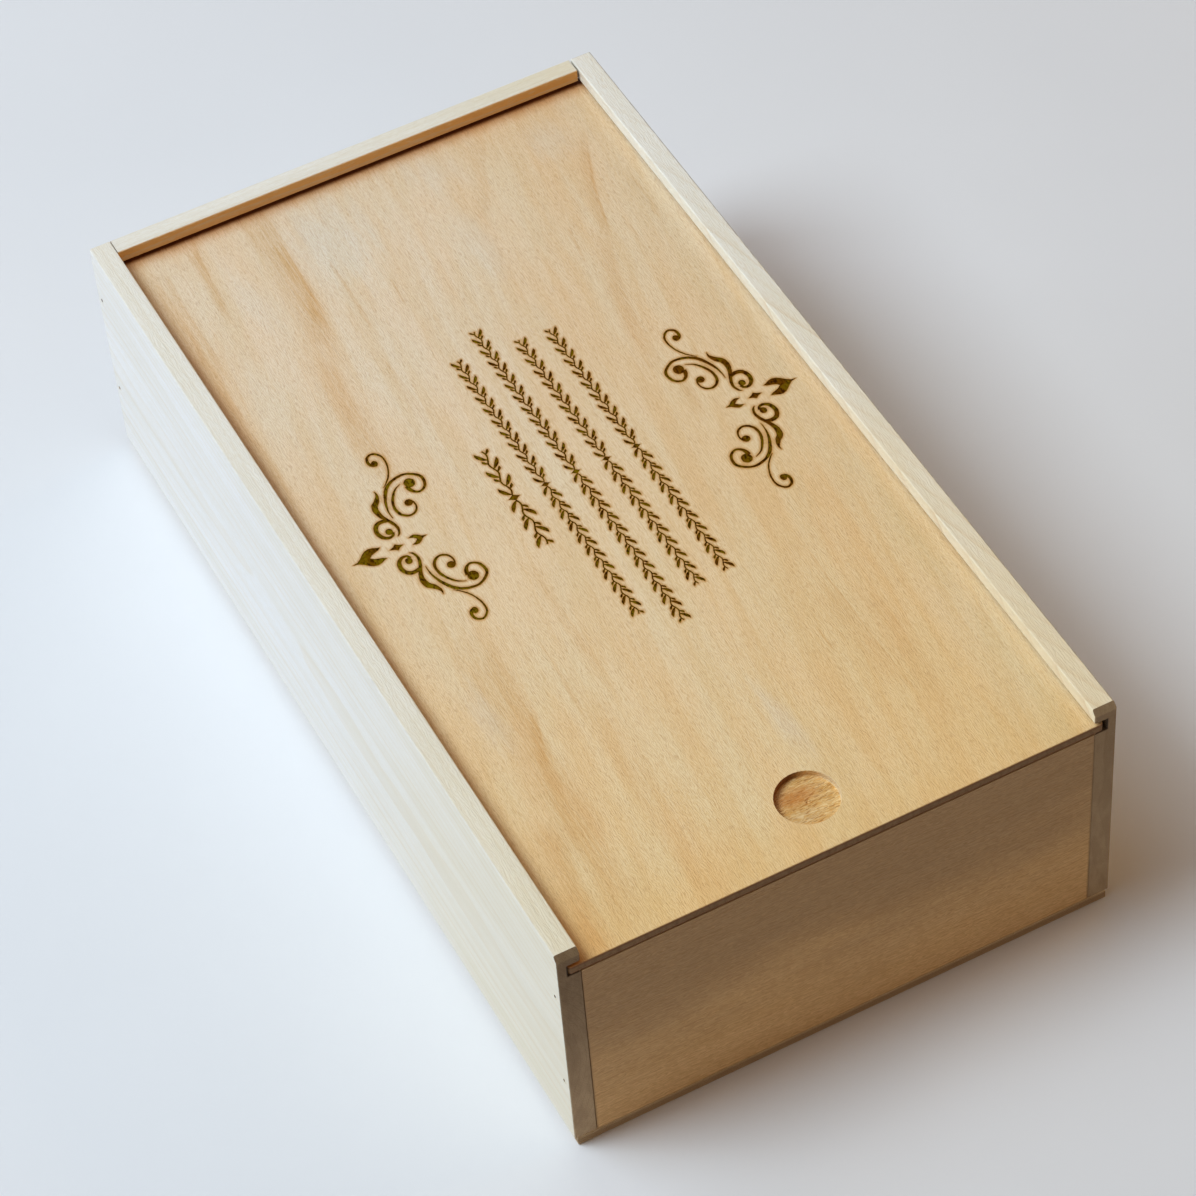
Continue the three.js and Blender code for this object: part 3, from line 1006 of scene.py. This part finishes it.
# %% Building the lid
def build_lid(shapes):
    """The lid with its burnt pattern, its finger recess and its eased edges."""
    dice = random.Random(SEED)
    shapes = [ragged(shape, dice) for shape in shapes]
    border = lid_loop(LID_ARRIS)
    rim = recess_loop(RECESS_RIM)
    found, kept = top_pattern(border, rim, shapes)

    outline_tree = KDTree(sum(len(shape) for shape in shapes))
    for number, point in enumerate(p for shape in shapes for p in shape):
        outline_tree.insert((*point, 0.0), number)
    outline_tree.balance()

    bm = bmesh.new()
    scorch = bm.verts.layers.float.new("scorch")
    top, burnt_level = lid_high[2], lid_high[2] - BURN_DEPTH
    upper, lower = {}, {}

    def corner(index, burnt):
        """The point of the pattern at the level of its triangle."""
        made = lower if burnt else upper
        if index not in made:
            x, y = found[index]
            z = burnt_level + dice.uniform(-BURN_ROUGH, BURN_ROUGH) if burnt else top
            vert = bm.verts.new((x * MM, y * MM, z * MM))
            away = outline_tree.find((x, y, 0.0))[2]
            if burnt:
                vert[scorch] = 1.0 + min(1.0, away / BURN_MIDDLE)
            else:
                vert[scorch] = max(0.0, 1.0 - away / SCORCH_REACH)
            made[index] = vert
        return made[index]

    sides = {}
    for triangle, burnt in kept:
        face = bm.faces.new([corner(i, burnt) for i in triangle])
        face.material_index = BURNT if burnt else VENEER
        for a, b in zip(triangle, (*triangle[1:], triangle[0])):
            sides[(a, b)] = burnt
    for (a, b), burnt in sides.items():
        if burnt and sides.get((b, a)) is False:
            wall = [corner(a, False), corner(b, False), corner(b, True), corner(a, True)]
            bm.faces.new(wall).material_index = BURNT

    def bridge(last, loop, z, finish, inward):
        """Makes a loop at height z and the faces between the last loop and it.

        Inward, on the way to the middle of the recess, they are turned over and shade smoothly.
        """
        made = [bm.verts.new((x * MM, y * MM, z * MM)) for x, y in loop]
        near, far = (made, last) if inward else (last, made)
        for i in range(len(loop)):
            after = (i + 1) % len(loop)
            face = bm.faces.new([near[i], far[i], far[after], near[after]])
            face.material_index = finish
            face.smooth = inward
        return made

    last = [upper[i] for i in range(len(border))]
    for inset, z, finish in border_profile():
        last = bridge(last, lid_loop(inset), z, finish, False)
    bm.faces.new(last[::-1]).material_index = VENEER

    last = [upper[i] for i in range(len(border), len(border) + RECESS_STEPS)]
    rows, mark_bottom = recess_profile()
    for radius, z, finish in rows:
        last = bridge(last, recess_loop(radius), z, finish, True)
    middle = bm.verts.new((RECESS_PLACE[0] * MM, RECESS_PLACE[1] * MM, mark_bottom * MM))
    for i in range(RECESS_STEPS):
        face = bm.faces.new([last[i], last[(i + 1) % RECESS_STEPS], middle])
        face.material_index = CROSS_VENEER

    mesh = bpy.data.meshes.new("engraved_lid")
    bm.to_mesh(mesh)
    bm.free()
    lid = bpy.data.objects.new("engraved_lid", mesh)
    bpy.context.scene.collection.objects.link(lid)
    return lid


lid = build_lid(outlines)
print("lid:", len(lid.data.vertices), "points,", len(lid.data.polygons), "faces")

# %% [markdown]
# ## Lid veneer
#
# The lid's veneer is a warm, pinkish tan with short dark pores and soft tea-coloured streaks. Fine
# noise gives the pores and strands. Streaks that the eye would miss are listed one by one: each is
# a line from one place to another on the lid, with a width, and noise makes its border soft.


# %% Listed streaks
def make_streak_group():
    """1 along a line from Start to End: crisp on its right side, fading over Width on its left.

    Bend moves the middle of the line to the left, and Sway is noise that makes it waver. All of
    them are in millimetres.
    """
    inputs = {
        "Place": (0, 0, 0), "Start": (0, 0, 0), "End": (100, 0, 0), "Bend": 0.0, "Width": 4.0,
        "Sway": 0.0,
    }
    group, source = start_group("stain streak", inputs, ("Stain",))
    line = move("SUBTRACT", source["End"], source["Start"])
    here = move("MULTIPLY", move("SUBTRACT", source["Place"], source["Start"]), (1.0, 1.0, 0.0))
    part = move("DOT_PRODUCT", here, line) / move("DOT_PRODUCT", line, line)
    away = split(move("CROSS_PRODUCT", line, here))[2] / move("LENGTH", line)
    bow = part * (1.0 - part) * source["Bend"] * 4.0
    away = (away - bow + source["Sway"]) / source["Width"]
    return end_group(group, Stain=band(away, -0.15, 0.15, 0.3, 1.0) * band(part, 0.0, 0.25, 0.7, 1.0))


streak_group = make_streak_group()

# %% Places of the streaks and patches
# Each streak: start (along, across), end (along, across), bend and width, in millimetres on the
# lid, and strength.
STREAKS = [
    ((184, -35.0), (80, -44.5), -1.5, 13.0, 0.6),
    ((166, -37.0), (96, -42.0), -1.0, 9.0, 0.95),
    ((176, -45), (138, -43), 0, 4.0, 0.4),
    ((104, -45.5), (18, -50.5), 1.0, 13.0, 0.45),
    ((174, -63.5), (122, -69), 0.8, 4.0, 0.6),
    ((172, -67), (136, -69.5), 0, 2.5, 0.4),
    ((170, -79), (96, -82), 0, 3.0, 0.45),
    ((176, -82.5), (20, -86.0), 0, 8.0, 0.5),
    ((156, 84.5), (84, 61.5), 1.5, 5.0, 0.4),
    ((150, 82.0), (90, 63.5), 1.5, 1.6, 0.7),
    ((106, 68), (22, 49.5), 4.0, 8.0, 0.4),
    ((32, 55), (0, 52), 0, 7.0, 0.5),
    ((170, 50.5), (118, 29), 0, 7.0, 0.3),
    ((126, 86.5), (92, 84.5), 0, 4.0, 0.4),
    ((112, 54), (86, 50.5), 0, 1.8, 0.4),
    ((138, -26.5), (92, -27.5), 0, 1.8, 0.45),
    ((120, -12), (100, -13), 0, 1.4, 0.4),
    ((88, -30), (48, -31), 0, 4.0, 0.3),
    ((-20, -30), (-96, -31), 0, 5.0, 0.3),
    ((-52, -43), (-98, -44.5), 0, 1.8, 0.4),
    ((-30, -56), (-196, -65.5), 0.6, 18.0, 0.5),
    ((-80, -57), (-114, -66), 0, 7.0, 0.8),
    ((-98, -60.5), (-152, -63), 0, 19.0, 0.6),
    ((-118, -72), (-196, -82), 0, 14.0, 0.6),
    ((-196, -49), (-78, -45), 0, 14.0, 0.22),
    ((-78, 50.5), (-140, 51), 0, 9.0, 0.36),
    ((-56, 50.8), (-150, 51.4), 0, 1.1, 0.55),
    ((-84, 62), (-160, 60), 0, 12.0, 0.25),
    ((-98, 37), (-112, 36.8), 0, 0.9, 0.5),
]
# Each pale, cool patch: its middle (along, across), its half length and half width, and strength.
COOL_PATCHES = [
    ((147, -22), (32, 20), 0.55),
    ((158, 24), (20, 13), 0.35),
    ((152, 68), (16, 10), 0.3),
    ((118, 23), (24, 9), 0.3),
    ((130, -58), (24, 9), 0.3),
    ((-78, -73), (22, 6), 0.3),
    ((-130, 9), (24, 5), 0.3),
]
print(len(STREAKS), "streaks and", len(COOL_PATCHES), "cool patches")

# %% Lid veneer
TEA = (232, 206, 166)
# Painted shade on the lid beside the left and back lips, and a painted shadow under the back lip.
LIP_SHADE = (216, 170, 112)
BACK_LIP_SHADOW = (150, 108, 66)
COOL = (227, 219, 204)
VENEER_FRONT = (240, 212, 161)
# VENEER_BACK is paler and cooler than the front: partly its own tone, partly a painted sheen.
VENEER_BACK = (236, 218, 193)
HALO = (184, 122, 0)
FIGURE_DRIFT = -0.14  # the broad figure runs a little across the lid


def lid_veneer():
    """The lid's face: pink-tan wood, pores, streaks, and scorched borders beside the burnt lines."""
    material, tree = start_material("lid veneer")
    place = grain_place(tree, "YXZ")
    along, across, level = split(place)
    fibres = use(
        fibre_group, Place=place, Strand_Length=4.0, Strand_Width=0.84, Fleck_Length=2.6, Fleck_Width=0.4
    )
    # Paler and cooler towards the back: partly the veneer's own tone, partly a painted sheen.
    colour = lay(window(along, -230.0, 130.0), VENEER_FRONT, VENEER_BACK)
    front_right = window(across, 68.0, 78.0) * window(along, -120.0, -80.0, 1.0, 0.0)
    front_end = window(along, -176.0, -150.0, 1.0, 0.0)
    tinted = calc("MAXIMUM", window(across, -10.0, 55.0) - front_right, front_end)
    colour = shade(colour, tinted, WHITE, (253, 247, 235))
    # A faint painted reflection of the right lip: paler and cooler along the right edge.
    colour = lay(window(across, 84.0, 91.0, 0.0, 0.1), colour, COOL)
    leaning = join("ShaderNodeCombineXYZ", {0: along, 1: across + along * FIGURE_DRIFT})
    cloud = window(noise(leaning, (0.016, 0.06, 0.0), 3.0, 0.5), 0.35, 0.65)
    colour = shade(colour, cloud, (254, 248, 241), (252, 251, 248))
    figure = window(noise(leaning, (0.011, 0.15, 0.0), 4.0, 0.55, 0.4), 0.35, 0.62)
    colour = shade(colour, figure, (251, 245, 235), WHITE)

    waver = noise(place, (0.022, 0.16, 0.0), 4.0, 0.6) - 0.5
    for middle, (half_length, half_width), strength in COOL_PATCHES:
        offset = move("SUBTRACT", place, (*middle, 0.0))
        reach = move("LENGTH", move("MULTIPLY", offset, (1 / half_length, 1 / half_width, 0.0)))
        colour = lay(window(waver * 1.6 + reach, 0.1, 1.1, strength, 0.0), colour, COOL)
    sway = waver * 3.5
    stained = 0.0
    for start, end, bend, width, strength in STREAKS:
        line = {"Start": (*start, 0.0), "End": (*end, 0.0), "Bend": bend, "Width": width}
        stain = use(streak_group, Place=place, Sway=sway, **line)["Stain"]
        stained = calc("MAXIMUM", stain * strength, stained)
    wisps = noise(place, (0.05, 1.1, 0.0), 3.0, 0.6)
    colour = lay(stained * window(wisps, 0.34, 0.60, 0.45, 1.0), colour, TEA, "MULTIPLY")
    strand = window(fibres["Strand"], 0.28, 0.72)
    colour = shade(colour, strand, (247, 242, 233), WHITE)
    colour = lay(fibres["Fleck"] * 0.22, colour, (176, 122, 66))
    hairline = noise(place, (0.07, 1.7, 0.0), 2.0, 0.5)
    colour = lay(window(hairline, 0.60, 0.72, 0.0, 0.2), colour, (190, 138, 80))

    # Painted shade and warm reflected light on the lid beside the left and the back lips.
    sway = (noise(place, (0.05, 0.5, 0.0), 3.0, 0.6) - 0.5) * 3.0
    colour = lay(window(across + sway, -90.0, -80.0, 1.0, 0.0), colour, (250, 243, 232), "MULTIPLY")
    left_lip_shade = window(across + sway, -94.0, -87.5, 1.0, 0.0)
    border = calc("MAXIMUM", left_lip_shade, window(along + sway, 165.0, 175.0))
    colour = lay(border, colour, LIP_SHADE, "MULTIPLY")
    # A painted shadow line under the back panel's lip.
    colour = lay(window(along, 171.0, 173.5), colour, BACK_LIP_SHADOW, "MULTIPLY")
    toasted = window(level, lid_high[2] - 0.25, lid_high[2] - 0.03, 0.9, 0.0)
    toasted = toasted * window(along, lid_low[1] + 0.8, lid_low[1] + 1.2, 1.0, 0.0)
    colour = lay(toasted, colour, (150, 104, 58))

    scorch = put(tree, "ShaderNodeAttribute", output="Fac", attribute_name="scorch")
    smoke = window(noise(place, 1.1, 3.0, 0.7), 0.2, 0.6, 0.7, 1.0)
    colour = lay(calc("POWER", scorch, 1.7) * smoke * 0.95, colour, HALO)

    height = fibres["Fleck"] * -0.8 + fibres["Strand"] * 0.7
    rough = window(strand + fibres["Fleck"], 0.0, 1.6, 0.48, 0.68)
    end_material(colour, rough, height, 0.35, 0.0002, Specular_IOR_Level=0.35)
    return material


# %% Burnt wood
BURNT_OLIVE = (126, 101, 7)
BURNT_BROWN = (104, 60, 2)
BURNT_BORDER = (40, 8, 0)


def burnt_wood():
    """The bottom of the engraving: olive in places, dark brown in others, dull and rough."""
    material, tree = start_material("burnt wood")
    place = grain_place(tree, "YXZ")
    cloud = noise(place, (0.14, 0.20, 0.0), 3.0, 0.6)
    grain = noise(place, (0.5, 0.9, 0.0), 2.0, 0.6)
    redder = window(split(place)[1], -70.0, 90.0, 0.0, 0.4)
    brown = calc("ADD", window(cloud, 0.38, 0.62, 0.0, 0.8), redder, clamp=True)
    colour = lay(brown, BURNT_OLIVE, BURNT_BROWN)
    middle = put(tree, "ShaderNodeAttribute", output="Fac", attribute_name="scorch")
    speckled = middle + (grain - 0.5)
    colour = lay(window(speckled, 1.0, 1.5, 0.35, 0.0), colour, BURNT_BORDER)
    colour = lay(window(grain, 0.44, 0.66, 0.0, 0.85), colour, BURNT_BORDER)
    scan = join("ShaderNodeTexWave", {"Vector": place, "Scale": 1.3, "Distortion": 1.0}, 1)
    rough = window(grain, 0.2, 0.8, 0.7, 0.95)
    end_material(colour, rough, grain + scan * 0.4, 0.6, 0.0002, Specular_IOR_Level=0.02)
    return material


# %% The second veneer, in the recess
def from_recess(place, aside, up, scale):
    """How far a place is from a point aside and up of the recess's middle, each way scaled."""
    offset = move("SUBTRACT", place, (RECESS_PLACE[0] + aside, RECESS_PLACE[1] + up, 0.0))
    return move("LENGTH", move("MULTIPLY", offset, (*scale, 0.0)))


def cross_veneer():
    """The recess cuts into the middle veneer, whose grain runs across the lid."""
    material, tree = start_material("cross veneer")
    place = grain_place(tree, "XYZ")
    fibres = use(
        fibre_group, Place=place, Figure_Width=2.6, Strand_Length=5.0, Strand_Width=0.8,
        Fleck_Length=1.8, Fleck_Width=0.4,
    )
    colour = lay(window(fibres["Figure"], 0.3, 0.7), (226, 182, 116), (244, 208, 148))
    pale = from_recess(place, -3.5, -5.0, (0.14, 0.26))
    colour = lay(window(pale, 0.3, 1.2, 0.6, 0.0), colour, (228, 198, 148))
    patch = from_recess(place, -2.0, 3.6, (0.11, 0.22)) + (noise(place, (0.3, 0.9, 0.0), 3.0, 0.6) - 0.5)
    colour = lay(window(patch, 0.2, 1.2, 0.75, 0.0), colour, (206, 138, 72))
    strand = window(fibres["Strand"], 0.2, 0.8)
    colour = shade(colour, strand, (240, 222, 194), WHITE)
    colour = lay(fibres["Fleck"] * 0.5, colour, (160, 96, 40))
    face = facing(tree)
    is_wall = window(face[2], 0.55, 0.98, 1.0, 0.0)
    away = face[0] - face[1] * 0.55
    # The wall: painted shade where it faces away from the window, painted light where it faces it.
    colour = lay(is_wall * window(away, -0.1, 0.7), colour, (122, 80, 44))
    colour = lay(is_wall * window(away, -0.1, -0.7, 0.0, 0.85), colour, (236, 212, 168))
    from_middle = move("SUBTRACT", place, (*RECESS_PLACE, 0.0))
    # A painted shadow on the floor below the shaded wall.
    rim_side = move("DOT_PRODUCT", from_middle, (-0.82, 0.57, 0.0))
    colour = lay(window(rim_side, 5.5, 10.5, 0.0, 0.6), colour, (166, 110, 66))
    in_mark = window(move("LENGTH", from_middle), 0.5, 1.5, 0.6, 0.0)
    colour = lay(in_mark, colour, (136, 84, 42))
    height = fibres["Fleck"] * -1.0 + fibres["Strand"]
    rough = window(strand, 0.0, 1.0, 0.55, 0.75)
    end_material(colour, rough, height, 0.5, 0.0003, Specular_IOR_Level=0.1)
    return material


# %% The lid's burnt edge
def lid_edge():
    """A laser cut the lid out, so its edge is brown, darker on the glue lines."""
    material, tree = start_material("laser-cut edge")
    place = grain_place(tree, "XYZ")
    level = split(place)[2]
    ply = use(ply_group, Place=place, Bottom=lid_low[2], Thickness=lid_high[2] - lid_low[2])
    soot = noise(place, (0.5, 0.5, 0.25), 4.0, 0.7)
    colour = lay(ply["Core"], (134, 100, 58), (126, 94, 54))
    above = window(level, lid_high[2] - 1.1, lid_high[2] - 0.7)
    below = window(level, lid_low[2] + 0.5, lid_low[2] + 0.9, 1.0, 0.0)
    colour = lay(calc("MAXIMUM", above, below), colour, (112, 70, 24))
    colour = lay(ply["Glue"] * 0.4, colour, (84, 54, 28))
    colour = lay(window(soot, 0.4, 0.75, 0.0, 0.55), colour, (86, 56, 28))
    end_material(colour, window(soot, 0.2, 0.8, 0.5, 0.75), soot, 0.4, 0.0002, Specular_IOR_Level=0.3)
    return material


for material in (lid_veneer(), burnt_wood(), cross_veneer(), lid_edge()):
    lid.data.materials.append(material)
    print("lid wears", material.name)
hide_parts("lid")
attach(lid, "lid")
